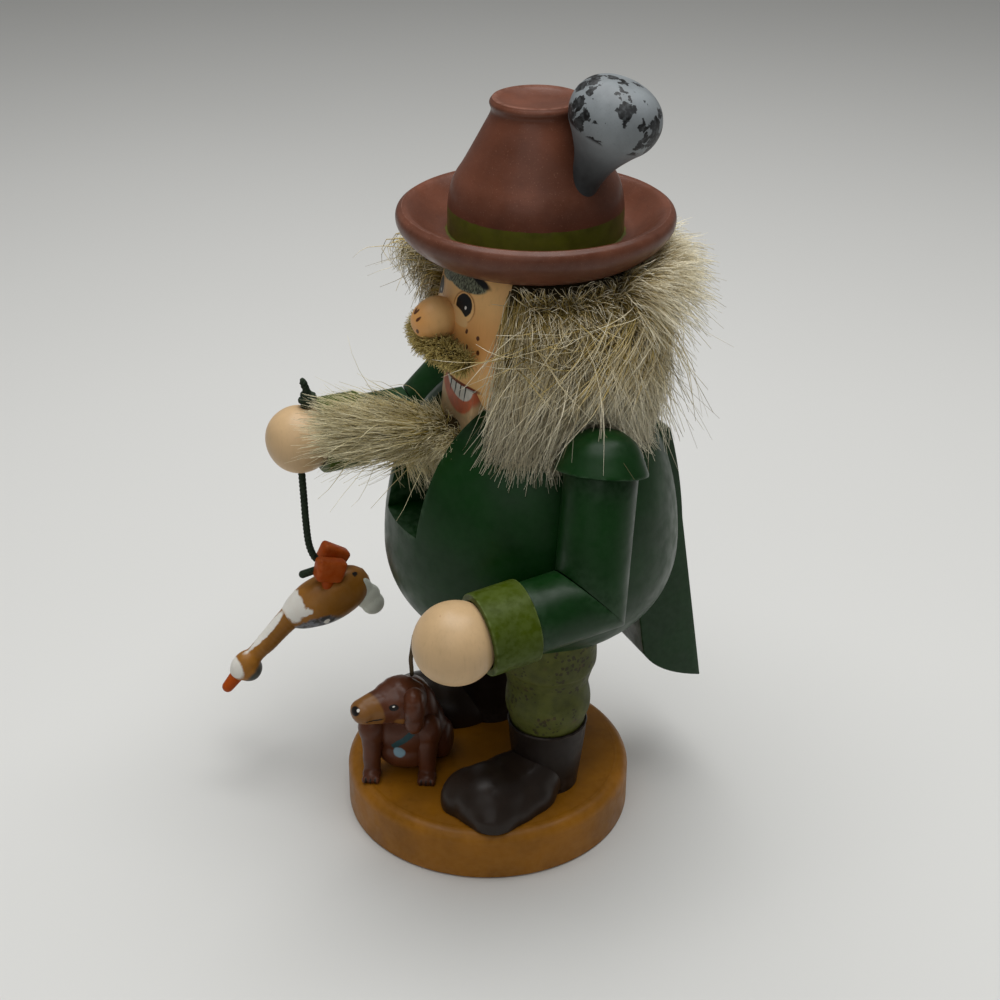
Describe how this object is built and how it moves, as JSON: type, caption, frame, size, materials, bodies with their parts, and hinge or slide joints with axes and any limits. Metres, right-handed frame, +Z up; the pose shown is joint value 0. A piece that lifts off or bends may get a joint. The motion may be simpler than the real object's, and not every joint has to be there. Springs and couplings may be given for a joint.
{
  "type": "wooden nutcracker",
  "caption": "Painted wooden nutcracker: a stout hunter on a round base whose coat tail is the lever that works the jaw, with a leashed dog and a hanging goose",
  "frame": {"origin": "the middle of the base's flat underside", "axes": "+Z up; the figure faces -Y; its left hand is on +X"},
  "size_m": [0.1329, 0.1528, 0.2506],
  "materials": {
    "base_ochre": "satin ochre stain",
    "boot_brown": "satin dark brown paint",
    "trouser_green": "matt mottled olive paint",
    "coat_green": "satin deep green paint",
    "cuff_green": "satin olive paint",
    "flesh": "satin peach paint over turned wood",
    "hat_brown": "satin reddish brown paint",
    "brush_grey": "satin grey paint with dark strokes",
    "fur": "long blond fur",
    "bare_wood": "bare beech dowel",
    "pin_steel": "drawn steel rod",
    "dog_brown": "satin reddish brown paint over carved wood",
    "leash_brown": "thin twisted cord",
    "cord_green": "dark green twisted cord",
    "goose_tan": "satin tan paint",
    "goose_grey": "satin pale grey paint",
    "goose_orange": "satin orange-red paint"
  },
  "bodies": {
    "figure": {"base_disc": "base_ochre", "left_shoe": "boot_brown", "right_shoe": "boot_brown", "left_boot_shaft": "boot_brown", "right_boot_shaft": "boot_brown", "left_trouser_leg": "trouser_green", "right_trouser_leg": "trouser_green", "left_leg_dowel": "bare_wood", "right_leg_dowel": "bare_wood", "coat_body": "coat_green", "pivot_pin": "pin_steel", "left_neck_dowel": "bare_wood", "right_neck_dowel": "bare_wood", "head": "flesh", "nose": "flesh", "moustache": "fur", "hair": "fur", "hat": "hat_brown", "hat_dowel": "bare_wood", "hat_brush": "brush_grey", "left_shoulder_cap": "coat_green", "left_upper_sleeve": "coat_green", "left_forearm_sleeve": "coat_green", "left_cuff": "cuff_green", "left_hand": "flesh", "left_wrist_dowel": "bare_wood", "left_shoulder_dowel": "bare_wood", "right_shoulder_cap": "coat_green", "right_upper_sleeve": "coat_green", "right_forearm_sleeve": "coat_green", "right_cuff": "cuff_green", "right_hand": "flesh", "right_wrist_dowel": "bare_wood", "right_shoulder_dowel": "bare_wood", "dog_body": "dog_brown", "dog_head": "dog_brown", "dog_left_ear": "dog_brown", "dog_right_ear": "dog_brown", "dog_left_foreleg": "dog_brown", "dog_right_foreleg": "dog_brown", "dog_leash": "leash_brown", "cord_knot": "cord_green"},
    "lever": {"jaw_lever": "coat_green", "beard": "fur"},
    "cord": {"goose_cord": "cord_green"},
    "goose": {"goose_body": "goose_tan", "goose_neck": "goose_tan", "goose_beak": "goose_orange", "goose_tail": "goose_grey", "goose_left_foot": "goose_orange", "goose_right_foot": "goose_orange"}
  },
  "joints": [
    {"name": "jaw", "type": "hinge", "parent": "figure", "child": "lever", "pos_m": [0, 0.0145, 0.138], "axis": [1, 0, 0], "range_deg": [0, 25]},
    {"name": "cord_swing", "type": "hinge", "parent": "figure", "child": "cord", "pos_m": [-0.05323, -0.044, 0.1079], "axis": [1, 0, 0], "range_deg": [-25, 25]},
    {"name": "goose_rock", "type": "hinge", "parent": "cord", "child": "goose", "pos_m": [-0.05323, -0.0396, 0.0719], "axis": [1, 0, 0], "range_deg": [-30, 30]}
  ]
}
